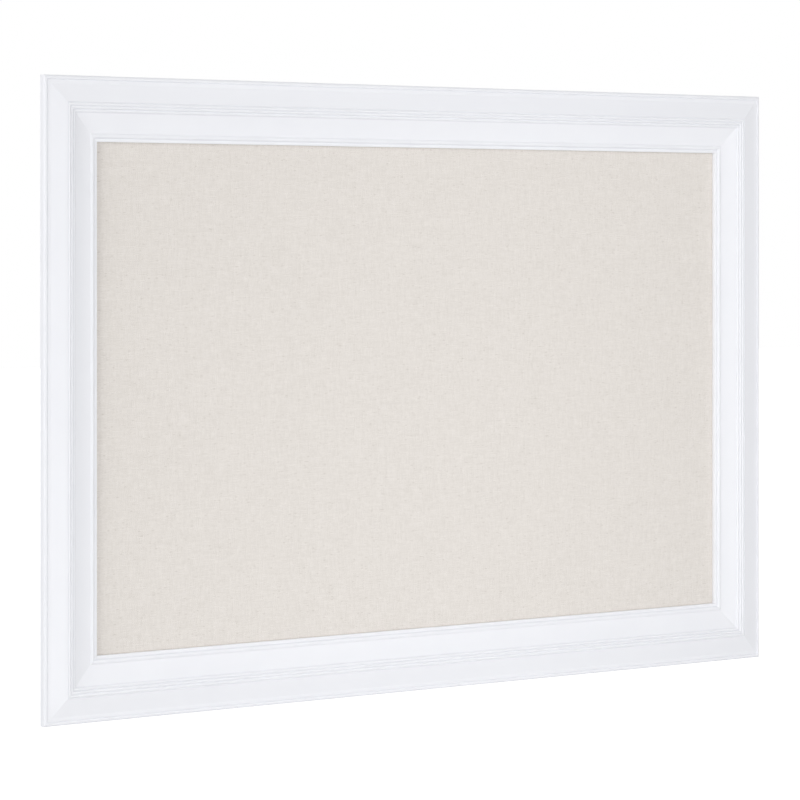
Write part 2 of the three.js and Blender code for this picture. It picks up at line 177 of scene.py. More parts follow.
surround = bpy.data.worlds.new("white_surround")
bpy.context.scene.world = surround
surround.use_nodes = True
tree = surround.node_tree
strength = add_node(tree, "MapRange", {"Value": seen_directly(tree), "To Min": GLOW, "To Max": 1.0})
tree.links.new(strength.outputs[0], tree.nodes["Background"].inputs["Strength"])
tree.nodes["Background"].inputs["Color"].default_value = (1, 1, 1, 1)
print("surround glows at", GLOW)

# %% Floor
FLOOR_DROP = 900 * MM  # below the board
FLOOR_HALF = 30  # metres from its middle to each edge
SHADOW_REACH = (1.2, 4.0)  # metres over which the floor's own lit colour fades to plain white
NEAR_WHITE = 0.35  # share of plain white in the floor close to the board
FLOOR_GREYS = (0.78, 0.82)  # matt paint is a little uneven
low, high = cad_box
middle = (low + high) / 2

floor_finish, tree, shader = new_finish(
    "Painted studio floor, matt", Roughness=0.9, Specular_IOR_Level=0.1, Emission_Color=(1, 1, 1, 1)
)
place = add_node(tree, "NewGeometry").outputs["Position"]
centre = (middle.x, middle.y, low.z - FLOOR_DROP)
away = add_node(tree, "VectorMath", {0: place, 1: centre}, operation="DISTANCE").outputs["Value"]
fade = add_node(
    tree,
    "MapRange",
    {
        "Value": away,
        "From Min": SHADOW_REACH[0],
        "From Max": SHADOW_REACH[1],
        "To Min": NEAR_WHITE,
        "To Max": 1.0,
    },
    interpolation_type="SMOOTHSTEP",
)
mottle = add_node(tree, "TexNoise", {"Vector": place, "Scale": 3, "Detail": 3})
tone = add_node(
    tree,
    "MapRange",
    {"Value": mottle.outputs["Fac"], "To Min": FLOOR_GREYS[0], "To Max": FLOOR_GREYS[1]},
)
glow = add_node(tree, "Math", {0: fade, 1: seen_directly(tree)}, operation="MULTIPLY")
grey = add_node(tree, "CombineColor", {0: tone, 1: tone, 2: tone})
tree.links.new(grey.outputs[0], shader.inputs["Base Color"])
tree.links.new(glow.outputs[0], shader.inputs["Emission Strength"])

square = ((-1, -1), (1, -1), (1, 1), (-1, 1))
sheet = bpy.data.meshes.new("floor")
sheet.from_pydata(
    [(x * FLOOR_HALF, y * FLOOR_HALF, centre[2]) for x, y in square], [], [(0, 1, 2, 3)]
)
floor = add_object("floor", sheet)
sheet.materials.append(floor_finish)
floor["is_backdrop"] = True
print(f"floor {FLOOR_DROP / MM:.0f} mm below the board")

# %% [markdown]
# Large square lamps stand in for softboxes. The strongest is out to the left, because the faces of
# the moulding that look left are the lightest in the picture, and one fills in from the front
# right. A small one close below makes the lower middle of the linen the lightest, and its pair
# close above lights the top rail most where it is right of the middle. The last lights the back,
# which only shows from behind.

# %% Lamps
LAMPS = {  # name: (watts, size in metres, place, the point that it faces)
    "left_key": (44, 1.6, (-3.04, -0.99, 0.4), (0, 0, -0.3)),
    "right_fill": (9.5, 2.0, (1.72, -2.46, -0.3), (0, 0, -0.3)),
    "near_low": (4.5, 0.8, (0, -1.3, -0.9), (0, 0, -0.4)),
    "near_high": (3.9, 0.8, (0.35, -1.3, 0.35), (0.2, 0, -0.2)),
    "back": (20, 2.0, (0.6, 2.6, 0.6), (0, 0, -0.3)),
}

for name, (watts, size, place, target) in LAMPS.items():
    bulb = bpy.data.lights.new(name, "AREA")
    bulb.shape = "SQUARE"
    bulb.size = size
    bulb.energy = watts
    lamp = add_object(name, bulb)
    lamp.location = place
    lamp.rotation_euler = (Vector(target) - Vector(place)).to_track_quat("-Z", "Y").to_euler()
    lamp.visible_camera = False
print("lamps:", ", ".join(LAMPS))

# %% [markdown]
# ## White paint
#
# The moulding is finished in a satin lacquer sprayed over primer. Such paint is smooth but not
# mirror-like: it has a faint orange peel about 2 mm across, the grain below telegraphs as fine
# lines along the rail, and a little dust dulls it in patches. A slightly cool white keeps it
# apart from the warm linen. In the narrow quirks between the members of the moulding the lacquer
# is made a shade darker, as painted shade, which draws them as thin lines. That could be
# painted by a mask in one material, but a second material on the quirks' own faces is exact.

# %% Satin lacquer
paint, tree, shader = new_finish(
    "Satin white lacquer, sprayed on primed wood", Specular_IOR_Level=0.5, IOR=1.5
)
PEEL = 2.2 * MM  # across one dimple of the orange peel
PEEL_HEIGHT, GRAIN_HEIGHT = 0.008 * MM, 0.003 * MM
GRAIN_LINE = 0.9 * MM  # spacing of the lines, which run 25 times as far along the rail
DUST_PATCH = 60 * MM
spot = add_node(tree, "TexCoord").outputs["Object"]
along_rail = add_node(tree, "VectorMath", {0: spot, 1: (0.04, 1, 1)}, operation="MULTIPLY")
peel = add_node(tree, "TexNoise", {"Vector": spot, "Scale": 1 / PEEL, "Detail": 1})
lines = add_node(tree, "TexNoise", {"Vector": along_rail, "Scale": 1 / GRAIN_LINE, "Detail": 2})
dust = add_node(tree, "TexNoise", {"Vector": spot, "Scale": 1 / DUST_PATCH, "Detail": 4})
shade = add_node(tree, "Mix", {"Factor": dust.outputs["Fac"]}, data_type="RGBA")
shade.inputs["A"].default_value = linear("F3F4F8")
shade.inputs["B"].default_value = linear("EFF0F5")
tree.links.new(shade.outputs["Result"], shader.inputs["Base Color"])
gloss = add_node(tree, "MapRange", {"Value": dust.outputs["Fac"], "To Min": 0.36, "To Max": 0.5})
tree.links.new(gloss.outputs[0], shader.inputs["Roughness"])
fine = add_node(
    tree, "Bump", {"Height": lines.outputs["Fac"], "Distance": GRAIN_HEIGHT, "Strength": 0.5}
)
skin = add_node(
    tree,
    "Bump",
    {"Height": peel.outputs["Fac"], "Distance": PEEL_HEIGHT, "Strength": 0.6, "Normal": fine},
)
tree.links.new(skin.outputs[0], shader.inputs["Normal"])
print("made", paint.name)

# %% The same lacquer, darkened in the quirks as painted shade
quirk_shaded_paint = paint.copy()
quirk_shaded_paint.name = "Satin white lacquer, with dust settled in the quirks"
quirk_shade_colours = quirk_shaded_paint.node_tree.nodes[shade.name]
# These darker colours are painted shade in the quirks.
quirk_shade_colours.inputs["A"].default_value = linear("ECEDF2")
quirk_shade_colours.inputs["B"].default_value = linear("E8E9EF")
print("made", quirk_shaded_paint.name)

# %% [markdown]
# The back of the moulding is left as it came from the planer: a pale poplar, with growth lines a
# few millimetres apart that run the length of the rail, fine pores, and faint planer marks across.
# A wave texture could draw the growth lines too, but it repeats, and noise stretched along the
# rail wanders as a tree does. Each stick uses its own axes, so the grain turns at each mitre.

# %% Planed poplar
GROWTH_LINE = 6 * MM  # spacing, and 20 times that along the rail
PORE = 0.5 * MM  # across, and 50 times that along the rail
KNIFE_MARK = 14 * MM
KNIFE_HEIGHT, PORE_DEPTH = 0.02 * MM, 0.05 * MM
poplar, tree, shader = new_finish(
    "Poplar, planed and left bare", Roughness=0.7, Specular_IOR_Level=0.3
)
spot = add_node(tree, "TexCoord").outputs["Object"]
drawn_out = add_node(tree, "VectorMath", {0: spot, 1: (0.05, 1, 1)}, operation="MULTIPLY")
rings = add_node(
    tree,
    "TexNoise",
    {"Vector": drawn_out, "Scale": 1 / GROWTH_LINE, "Detail": 4, "Distortion": 0.4},
)
fibre = add_node(tree, "VectorMath", {0: spot, 1: (0.02, 1, 1)}, operation="MULTIPLY")
pores = add_node(tree, "TexNoise", {"Vector": fibre, "Scale": 1 / PORE, "Detail": 2})
wood = add_node(tree, "ValToRGB", {"Fac": rings.outputs["Fac"]})
for stop, at, colour in zip(wood.color_ramp.elements, (0.3, 0.7), ("C9AE82", "E3CDA6")):
    stop.position, stop.color = at, linear(colour)
speck = add_node(
    tree,
    "MapRange",
    {"Value": pores.outputs["Fac"], "From Min": 0.3, "From Max": 0.5, "To Min": 0.85},
)
surface = add_node(tree, "Mix", {"Factor": 1.0}, data_type="RGBA", blend_type="MULTIPLY")
tree.links.new(wood.outputs[0], surface.inputs["A"])
tree.links.new(speck.outputs[0], surface.inputs["B"])
tree.links.new(surface.outputs["Result"], shader.inputs["Base Color"])
planer = add_node(
    tree,
    "TexWave",
    {"Vector": spot, "Scale": 1 / KNIFE_MARK, "Distortion": 0.6},
    bands_direction="X",
)
knife = add_node(
    tree, "Bump", {"Height": planer.outputs["Fac"], "Distance": KNIFE_HEIGHT, "Strength": 0.4}
)
rough = add_node(
    tree,
    "Bump",
    {"Height": pores.outputs["Fac"], "Distance": PORE_DEPTH, "Strength": 0.5, "Normal": knife},
)
tree.links.new(rough.outputs[0], shader.inputs["Normal"])
print("made", poplar.name)

# %% [markdown]
# ## The moulding's section
#
# A moulding is one profile run past a cutter, so the whole frame is one outline. It could be
# drawn as a curve by hand, but a list of members can be checked against a ruler: each member of
# the face is a step inwards, a rise towards the viewer and a swell. Reading from the outer edge:
# a bead, a narrow fillet, a broad bevel, a crest of three reeds, a cove, and the bead and lip at
# the sight edge, with a small quirk between each two. Sharp arrises look wrong under paint, so
# every corner is then softened.

# %% Members of the face
# All in millimetres, in the section's own plane.
EDGE_FORWARD = 22.9  # the outer arris, forward of the flat back
EDGE_BAND = 7.4  # upright part of the side behind it
RAKE = 10.5  # how far in the flat back begins
RAIL_WIDTH = 77.5
RABBET_WALL = 71.0  # inwards of the outer edge
LIP_BACK = 13.1  # the back of the lip, forward of the flat back
LIP_ROUND = 0.8  # how far the lip's inner corner falls away
MEMBERS = {  # run inwards, rise forwards, swell
    "outer bead": (4.3, 1.2, 0.6),
    "fillet quirk": (0.7, -0.9, 0),
    "fillet": (4.7, 0.3, 0.2),
    "bevel": (21.3, 3.9, 0),
    "bevel quirk": (0.5, -0.6, 0),
    "crest reed": (3.6, 0.1, 0.8),
    "crest quirk": (0.6, -0.5, 0),
    "middle reed": (3.3, -0.3, 0.8),
    "reed quirk": (0.5, -0.8, 0),
    "inner reed": (3.3, -0.5, 0.8),
    "cove quirk": (0.6, -0.6, 0),
    "cove": (24.2, -5.2, -0.6),
    "sight bead": (5.3, 0, 1.3),
    "sight quirk": (0.6, -0.8, 0),
    "lip": (3.2, 0, 0.3),
}
SWELL_STEPS = 10


def bulged(start, end, swell):
    """Points after start on a shallow curve to end that stands off the straight line by swell."""
    if swell == 0:
        return [end]
    across = Vector((start.y - end.y, end.x - start.x)).normalized() * swell * 2
    pull = (start + end) / 2 + across
    shares = [k / SWELL_STEPS for k in range(1, SWELL_STEPS + 1)]
    return [start * (1 - t) ** 2 + pull * 2 * t * (1 - t) + end * t * t for t in shares]


def face_outline():
    """The section: outer side, face, rabbet and flat back. X runs inwards, Y forwards."""
    line = [Vector((0, EDGE_FORWARD - EDGE_BAND)), Vector((0, EDGE_FORWARD))]
    for run, rise, swell in MEMBERS.values():
        line += bulged(line[-1], line[-1] + Vector((run, rise)), swell)
    lip_end = Vector((RAIL_WIDTH, line[-1].y - LIP_ROUND))
    line += bulged(line[-1], lip_end, LIP_ROUND * 0.3)
    rabbet = ((RAIL_WIDTH, LIP_BACK), (RABBET_WALL, LIP_BACK), (RABBET_WALL, 0))
    return line + [Vector(p) for p in (*rabbet, (RAKE, 0))]


outline = face_outline()
print(f"section: {len(outline)} points, {max(p.y for p in outline):.1f} mm thick at the crest")

# %% Soften the corners
ARRIS = 0.35  # how far each corner is cut back
SHARP = math.radians(22)  # a corner that turns less than this is left as it is
SIDE_SHARE = 0.45  # of a short side, the most that a softened corner takes


def softened(line):
    """The closed outline with a small curve at each sharp corner."""
    out = []
    for i, corner in enumerate(line):
        before, after = line[i - 1] - corner, line[(i + 1) % len(line)] - corner
        if math.pi - before.angle(after) < SHARP:
            out.append(corner)
            continue
        start = corner + before.normalized() * min(ARRIS, before.length * SIDE_SHARE)
        end = corner + after.normalized() * min(ARRIS, after.length * SIDE_SHARE)
        shares = (0, 0.25, 0.5, 0.75, 1)
        out += [start * (1 - t) ** 2 + corner * 2 * t * (1 - t) + end * t * t for t in shares]
    return out


section = softened(outline)
print("softened to", len(section), "points")

# %% [markdown]
# ## The four rails
#
# Each rail is that section drawn along its length and cut to 45 degrees at both ends. It could be
# a curve with a bevel object, but then the corners would be one bent piece, and a real frame is
# four sticks. So each stick has its own mesh, made once in its own axes: X along the rail,
# Y into the wall and Z outwards. The grain in its material then follows the stick when it turns.

# %% Bare wood, paint, and the quirks' paint with painted shade
def is_bare(a, b):
    """True for the parts of the section that no spray reaches: the flat back and the rabbet."""
    middle = (a + b) / 2
    in_back = middle.x > RAKE and middle.y < ARRIS
    in_rabbet = middle.x > RABBET_WALL - ARRIS and middle.y < LIP_BACK + 0.1
    return in_back or in_rabbet


def quirk_bands():
    """[from, to] inwards of each quirk on the face, with the softened corners beside it."""
    bands, inwards = [], 0
    for member, (run, _, _) in MEMBERS.items():
        if member.endswith("quirk"):
            bands.append((inwards - ARRIS, inwards + run + ARRIS))
        inwards += run
    return bands


def face_finish_number(a, b):
    """0 for bare wood, 2 for the painted shade in the quirks on the face, 1 for the rest of the
    paint.
    """
    if is_bare(a, b):
        return 0
    middle = (a + b) / 2
    on_face = middle.y > LIP_BACK + 1
    return 2 if on_face and any(near < middle.x < far for near, far in quirk_bands()) else 1


print("quirks:", len(quirk_bands()))

# %% [markdown]
# Blender shades every face flat until it is told otherwise. Smooth shading alone would round the
# arrises too, so each edge that turns sharply is marked as crisp. Such a mark belongs to the mesh,
# so it also holds in an exported model.

# %% Meshes whose curves look smooth
SEEN_EDGE = math.radians(40)  # an edge that turns more than this stays crisp


def smooth_curves(mesh, recalculate=False):
    """Shades the mesh smooth, apart from its crisp edges."""
    work = bmesh.new()
    work.from_mesh(mesh)
    if recalculate:
        bmesh.ops.recalc_face_normals(work, faces=work.faces)
    for face in work.faces:
        face.smooth = True
    for edge in work.edges:
        edge.smooth = edge.calc_face_angle(0) < SEEN_EDGE
    work.to_mesh(mesh)
    work.free()


def mesh_piece(name, points, faces, finishes, face_finish=None):
    """An object from points in millimetres, with its faces outwards."""
    mesh = bpy.data.meshes.new(name)
    mesh.from_pydata([Vector(p) * MM for p in points], [], faces)
    for finish in finishes:
        mesh.materials.append(finish)
    if face_finish:
        mesh.polygons.foreach_set("material_index", face_finish)
    smooth_curves(mesh, recalculate=True)
    return add_object(name, mesh)


print(f"edges are crisp over {math.degrees(SEEN_EDGE):.0f} degrees")

# %% Make and place the rails
MITRE_GAP = 0.05  # what closes up under the paint
STATIONS = 25  # sections along each rail


def mitred_rail(name, length):
    """A rail of that length over its outer edge, lying along X with its outer edge on Z = 0.
    The cut ends are painted too, so that no bare wood shows down the joint."""
    points = []
    for k in range(STATIONS):
        share = k / (STATIONS - 1) * 2 - 1
        points += [(share * (length / 2 - p.x - MITRE_GAP / 2), -p.y, -p.x) for p in section]
    count = len(section)
    faces = [list(range(count)), list(range(len(points) - count, len(points)))]
    finish = [1, 1]
    for k in range(STATIONS - 1):
        for i in range(count):
            j = (i + 1) % count
            faces.append((k * count + i, k * count + j, (k + 1) * count + j, (k + 1) * count + i))
            finish.append(face_finish_number(section[i], section[j]))
    return mesh_piece(name, points, faces, [poplar, paint, quirk_shaded_paint], finish)


BOARD_WIDTH, BOARD_HEIGHT = 1146, 762
top_edge, bottom_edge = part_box("frame_top_rail")[1].z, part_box("frame_bottom_rail")[0].z
board_middle = Vector((0, 0, (top_edge + bottom_edge) / 2))
SIDES = {  # side: (CAD node, length, turn about Y in degrees, outer edge from the middle)
    "top": ("frame_top_rail", BOARD_WIDTH, 0, BOARD_HEIGHT / 2),
    "right": ("frame_right_stile", BOARD_HEIGHT, 90, BOARD_WIDTH / 2),
    "bottom": ("frame_bottom_rail", BOARD_WIDTH, 180, BOARD_HEIGHT / 2),
    "left": ("frame_left_stile", BOARD_HEIGHT, -90, BOARD_WIDTH / 2),
}

rails = {}
for side, (node, length, turn, out) in SIDES.items():
    rail = mitred_rail(f"{side}_rail_moulding", length)
    rail.matrix_world = (
        Matrix.Translation(board_middle)
        @ Matrix.Rotation(math.radians(turn), 4, "Y")
        @ Matrix.Translation((0, 0, out * MM))
    )
    rails[side] = rail
print("rails:", ", ".join(rails))

# %% [markdown]
# Two V-nails hold each mitre from behind. They are driven a little below the surface, so the wood
# has a V-shaped slot over each. The slots could be modelled into the rail's own faces, but they
# cross the mitre at odd places. A Boolean is simpler: its cutter is a copy of the nail itself,
# slightly larger and run out through the back.

# %% Cut the slots for the V-nails
SLOT_PLAY = 0.12 * MM
nails = [name for name in frame["nodes"] if name.startswith("v_nail")]


def slot_cutter(nodes):
    """Copies of those nails as one bmesh, grown by the play and run out through the back."""
    work = bmesh.new()
    for node in nodes:
        work.from_mesh(frame["nodes"][node].data)
    bmesh.ops.remove_doubles(work, verts=work.verts, dist=0.001 * MM)
    bmesh.ops.recalc_face_normals(work, faces=work.faces)
    work.normal_update()
    for vert in work.verts:
        vert.co += Vector((vert.normal.x, 0, vert.normal.z)) * SLOT_PLAY
        if vert.co.y > -MM:
            vert.co.y += MM
    return work


def cut(target, work):
    """Takes the bmesh, in the row frame, out of the target."""
    mesh = bpy.data.meshes.new("cutter")
    work.to_mesh(mesh)
    work.free()
    cutter = add_object("cutter", mesh)
    knife = target.modifiers.new("cut", "BOOLEAN")
    knife.operation = "DIFFERENCE"
    knife.solver = "EXACT"
    knife.object = cutter
    bpy.context.view_layer.update()
    result = target.evaluated_get(bpy.context.evaluated_depsgraph_get())
    cut_mesh = bpy.data.meshes.new_from_object(result)
    target.modifiers.clear()
    target.data = cut_mesh
    smooth_curves(cut_mesh)
    bpy.data.objects.remove(cutter)


for side, rail in rails.items():
    before = len(rail.data.polygons)
    cut(rail, slot_cutter([node for node in nails if side in node]))
    even = rail.modifiers.new("even_shading", "WEIGHTED_NORMAL")
    even.keep_sharp = True
    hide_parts(SIDES[side][0])
    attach(rail, "board")
    print(side, "faces before and after its slots:", before, len(rail.data.polygons))

# %% [markdown]
# ## The linen
#
# The cover is a plain-woven linen of unbleached flax. In such cloth each thread goes over one and
# under the next, flax threads swell and thin along their length, and short bits of stalk stay in
# them as flecks. The material builds this from threads: which thread is on top alternates like
# a chessboard, and each thread has its own change of tone along its run. The real threads lie
# about 0.7 mm apart, which is too fine to show here, so they are drawn twice as coarse. The holes
# between them are painted a little darker, as painted shade, and that is what the eye reads as
# weave from close by. Threads of real mesh would run to millions of faces, so the cloth is one
# sheet and the weave is its material.

# %% Plain-woven linen
THREAD = 1.4 * MM  # spacing, both ways
SLUB = 20 * MM  # length over which a thread swells or thins
APART = 7.31  # how far the noise jumps from one thread to the next

linen, tree, shader = new_finish(
    "Oatmeal linen, plain-woven flax",
    Roughness=0.92,
    Specular_IOR_Level=0.2,
    Sheen_Weight=0.12,
    Sheen_Roughness=0.6,
)
spot = add_node(tree, "TexCoord").outputs["Object"]
axes = add_node(tree, "SeparateXYZ", {0: spot})
count = {
    axis: add_node(tree, "Math", {0: axes.outputs[axis], 1: THREAD}, operation="DIVIDE")
    for axis in "XZ"
}


def thread_tone(own_axis, run_axis):
    """A noise that changes along a thread and jumps from one thread to the next."""
    own = add_node(tree, "Math", {0: count[own_axis]}, operation="FLOOR")
    apart = add_node(tree, "Math", {0: own, 1: APART}, operation="MULTIPLY")
    run = add_node(tree, "Math", {0: axes.outputs[run_axis], 1: SLUB}, operation="DIVIDE")
    seat = add_node(tree, "CombineXYZ", {"X": run, "Y": apart})
    return add_node(
        tree, "TexNoise", {"Vector": seat, "Scale": 1.0, "Detail": 3, "Roughness": 0.85}
    )


warp = thread_tone("X", "Z")
weft = thread_tone("Z", "X")
waves = {}
for axis in "XZ":
    half_turns = add_node(tree, "Math", {0: count[axis], 1: math.pi}, operation="MULTIPLY")
    waves[axis] = add_node(tree, "Math", {0: half_turns}, operation="SINE")
crossing = add_node(tree, "Math", {0: waves["X"], 1: waves["Z"]}, operation="MULTIPLY")
on_top = add_node(tree, "Math", {0: crossing, 1: 0.0}, operation="GREATER_THAN")
tone = add_node(tree, "Mix", {"Factor": on_top, "A": warp.outputs["Fac"], "B": weft.outputs["Fac"]})
print("linen threads per cm:", round(10 * MM / THREAD, 1))

# %% Tones of the threads, and painted shade in the holes between them
PAINTED_GAP_SHADE = 0.9  # brightness of the little holes between threads
GAP_WIDTH = 0.3  # share of a thread's height below which it darkens into the hole
FADED_PATCH = 90 * MM
FADING = (0.993, 1.007)
cloth = add_node(tree, "ValToRGB", {"Fac": tone.outputs["Result"]})
for stop, at, colour in zip(cloth.color_ramp.elements, (0.25, 0.75), ("DED8D1", "F5F0EB")):
    stop.position, stop.color = at, linear(colour)
flat_spot = add_node(tree, "VectorMath", {0: spot, 1: (1, 0, 1)}, operation="MULTIPLY")
patches = add_node(
    tree, "TexNoise", {"Vector": flat_spot, "Scale": 1 / FADED_PATCH, "Detail": 1}
)
faded = add_node(
    tree,
    "MapRange",
    {"Value": patches.outputs["Fac"], "To Min": FADING[0], "To Max": FADING[1]},
)
hill = add_node(tree, "Math", {0: crossing}, operation="ABSOLUTE")
# Painted shade: the cloth's colour is darkened in the holes between threads.
gap_painted_shade = add_node(
    tree, "MapRange", {"Value": hill, "From Max": GAP_WIDTH, "To Min": PAINTED_GAP_SHADE, "To Max": 1.0}
)
fading_and_gap_shade = add_node(tree, "Math", {0: faded, 1: gap_painted_shade}, operation="MULTIPLY")
even_cloth = add_node(tree, "VectorMath", {0: cloth, "Scale": fading_and_gap_shade}, operation="SCALE")
print(f"patches about {FADED_PATCH / MM:.0f} mm across")

# %% Flecks of stalk, and the relief of the threads
STALK = 4.5 * MM  # spacing of the bits of stalk, which are about three times as long as wide
STALK_EDGE = (0.08, 0.2)  # shares of that spacing over which a fleck fades out
STALK_MISSING = 0.25  # share of places that hold none
STALK_STRENGTH = 0.2
THREAD_HEIGHT = 0.12 * MM
lie = add_node(tree, "VectorMath", {0: flat_spot, 1: (0.35, 1, 1)}, operation="MULTIPLY")
bits = add_node(tree, "TexVoronoi", {"Vector": lie, "Scale": 1 / STALK}, feature="F1")
near = add_node(
    tree,
    "MapRange",
    {
        "Value": bits.outputs["Distance"],
        "From Min": STALK_EDGE[0],
        "From Max": STALK_EDGE[1],
        "To Min": 1.0,
        "To Max": 0.0,
    },
)
chance = add_node(tree, "SeparateColor", {0: bits.outputs["Color"]})
some = add_node(tree, "Math", {0: chance, 1: STALK_MISSING}, operation="GREATER_THAN")
fleck = add_node(tree, "Math", {0: near, 1: some}, operation="MULTIPLY")
share = add_node(tree, "Math", {0: fleck, 1: STALK_STRENGTH}, operation="MULTIPLY")
flecked = add_node(tree, "Mix", {"Factor": share, "A": even_cloth}, data_type="RGBA")
flecked.inputs["B"].default_value = linear("A09486")
tree.links.new(flecked.outputs["Result"], shader.inputs["Base Color"])
swollen = add_node(tree, "Math", {0: hill, 1: tone.outputs["Result"]}, operation="MULTIPLY")
relief = add_node(tree, "Bump", {"Height": swollen, "Distance": THREAD_HEIGHT, "Strength": 0.6})
tree.links.new(relief.outputs[0], shader.inputs["Normal"])
print("made", linen.name)

# %% [markdown]
# The cloth is one rectangle, cut larger than the panel, drawn tight over its face and round its
# edges, and glued down behind. Only stuffed fabric needs a cloth simulation: this is held flat by
# the board below. So it is laid out as a grid over the face, then rings of points that
# follow the turn, the edge and the hem. A Solidify modifier gives it the cloth's thickness.

# %% Sizes and turns of the cloth
# In millimetres.
PANEL_WIDTH, PANEL_HEIGHT = 1002.4, 618.4
CLOTH_THICKNESS = 0.8
FOLD = 1.6  # outer radius of the turn
HEM = 25.0
LINEN_FRONT, HEM_BACK = 12.8, 4.6  # the cloth's outer skins, forward of the flat back
CELL = 12.0  # grid over the face
TURN_STEPS = 5


def turn_levels():
    """[inset, forward] of the cloth's middle layer, from the face's edge to the end of the hem."""
    half = CLOTH_THICKNESS / 2
    radius = FOLD - half
    quarter = [math.radians(90 * k / TURN_STEPS) for k in range(TURN_STEPS + 1)]
    round_front, round_back = LINEN_FRONT - FOLD, HEM_BACK + FOLD
    front = [(FOLD - radius * math.sin(a), round_front + radius * math.cos(a)) for a in quarter]
    back = [(FOLD - radius * math.cos(a), round_back - radius * math.sin(a)) for a in quarter]
    return front + back + [(HEM / 2, HEM_BACK + half), (HEM, HEM_BACK + half)]


print("levels round the edge:", len(turn_levels()))

# %% Lay the linen over the panel
def grid_rim(columns, rows):
    """Grid places round the rim, in order, starting at the lower left."""
    lower = [(i, 0) for i in range(columns)]
    right = [(columns, j) for j in range(rows)]
    upper = [(i, rows) for i in range(columns, 0, -1)]
    left = [(0, j) for j in range(rows, 0, -1)]
    return lower + right + upper + left


def linen_sheet(name):
    """The cloth's middle layer: a grid over the face, then one ring of points for each level."""
    columns, rows = round(PANEL_WIDTH / CELL), round(PANEL_HEIGHT / CELL)
    levels = turn_levels()
    centre = board_middle / MM
    points = []

    def place(i, j, inset, forward):
        x = (i / columns * 2 - 1) * (PANEL_WIDTH / 2 - inset)
        z = (j / rows * 2 - 1) * (PANEL_HEIGHT / 2 - inset)
        points.append((x, -forward, centre.z + z))

    for j in range(rows + 1):
        for i in range(columns + 1):
            place(i, j, *levels[0])
    faces = []
    for j in range(rows):
        for i in range(columns):
            first = j * (columns + 1) + i
            faces.append((first, first + 1, first + columns + 2, first + columns + 1))
    rim = grid_rim(columns, rows)
    ring = [j * (columns + 1) + i for i, j in rim]
    for inset, forward in levels[1:]:
        following = [len(points) + k for k in range(len(rim))]
        for i, j in rim:
            place(i, j, inset, forward)
        for k in range(len(rim)):
            m = (k + 1) % len(rim)
            faces.append((ring[m], ring[k], following[k], following[m]))
        ring = following
    return mesh_piece(name, points, faces, [linen])


cover = linen_sheet("linen_cover_cloth")
print("linen:", len(cover.data.polygons), "faces before it gets its thickness")

# %% [markdown]
# A tight cloth over a soft board isn't quite flat: it dips by a few hundredths of a millimetre
# between threads that pull more or less. That is too little to see head on, but it keeps the face
# from looking like glass in raking light. A Displace modifier with a texture would do it, but a
# noise read at each point needs no texture.

# %% Slight unevenness and thickness of the cloth
DIP = 0.05 * MM
DIPS_PER_METRE = 9
for vert in cover.data.vertices:
    if vert.co.y < -(LINEN_FRONT - FOLD) * MM:
        vert.co.y += DIP * noise.noise(Vector((vert.co.x, 0, vert.co.z)) * DIPS_PER_METRE)
thick = cover.modifiers.new("cloth_thickness", "SOLIDIFY")
thick.thickness = CLOTH_THICKNESS * MM
thick.offset = 0
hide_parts("linen_cover")
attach(cover, "board")

# %% [markdown]
# ## The panel behind the linen
#
# The board under the cloth is a soft fibreboard: wood fibre felted wet and dried without pressing,
# so that pins go in and hold. Behind it a sheet of hardboard closes the frame. That is the same
# fibre pressed hot, which turns it brown and smooth, with darker wisps of fibre under a slight
# shine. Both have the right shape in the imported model, so they stay and only get a finish. A
# plain noise would look like clouds: here a larger noise bends a finer one, which draws wisps.

# %% Two kinds of fibreboard
def fibre_finish(name, dark, pale, fibre, roughness, relief):
    """A board of felted fibres of that length in metres, with its two colours and its relief."""
    finish, tree, shader = new_finish(name, Roughness=roughness, Specular_IOR_Level=0.3)
    spot = add_node(tree, "TexCoord").outputs["Object"]
    swirl_size, swirl_pull = fibre * 12, fibre * 20
    swirl = add_node(tree, "TexNoise", {"Vector": spot, "Scale": 1 / swirl_size, "Detail": 2})
    bent = add_node(
        tree, "VectorMath", {0: swirl.outputs["Color"], "Scale": swirl_pull}, operation="SCALE"
    )
    drift = add_node(tree, "VectorMath", {0: spot, 1: bent})
    wisps = add_node(
        tree, "TexNoise", {"Vector": drift, "Scale": 1 / fibre, "Detail": 6, "Roughness": 0.7}
    )
    stain = add_node(tree, "ValToRGB", {"Fac": wisps.outputs["Fac"]})
    for stop, at, colour in zip(stain.color_ramp.elements, (0.32, 0.62), (dark, pale)):
        stop.position, stop.color = at, linear(colour)
    tree.links.new(stain.outputs[0], shader.inputs["Base Color"])
    bump = add_node(
        tree, "Bump", {"Height": wisps.outputs["Fac"], "Distance": relief, "Strength": 0.5}
    )
    tree.links.new(bump.outputs[0], shader.inputs["Normal"])
    return finish


hardboard = fibre_finish("Hardboard, hot-pressed", "63432B", "8A6443", 2.5 * MM, 0.55, 0.05 * MM)
softboard = fibre_finish(
    "Softboard, felted and dried", "A5875F", "C9AD84", 3.5 * MM, 0.95, 0.4 * MM
)


def refinish(node, finish):
    """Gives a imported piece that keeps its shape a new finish."""
    slots = frame["nodes"][node].data.materials
    slots.clear()
    slots.append(finish)


refinish("backing_board", hardboard)
refinish("pin_core", softboard)
print("made", hardboard.name, "and", softboard.name)

# %% [markdown]
# ## Steel fixings
#
# The hangers, screws and V-nails are mild steel with a thin zinc plate. Zinc is a little blue,
# and its crystals leave it cloudy, so its shine changes over a few millimetres. The framer's
# points are hard spring steel, only oiled, which is darker and browner. A metal's colour is its
# reflection, so what differs between them is the tint and how blurred the reflection is, and one
# function makes both.

# %% Plated and oiled steel
ROLL_MARK = 0.25 * MM  # spacing of the fine lines that the rolling mill leaves
ROLL_DEPTH = 0.01 * MM


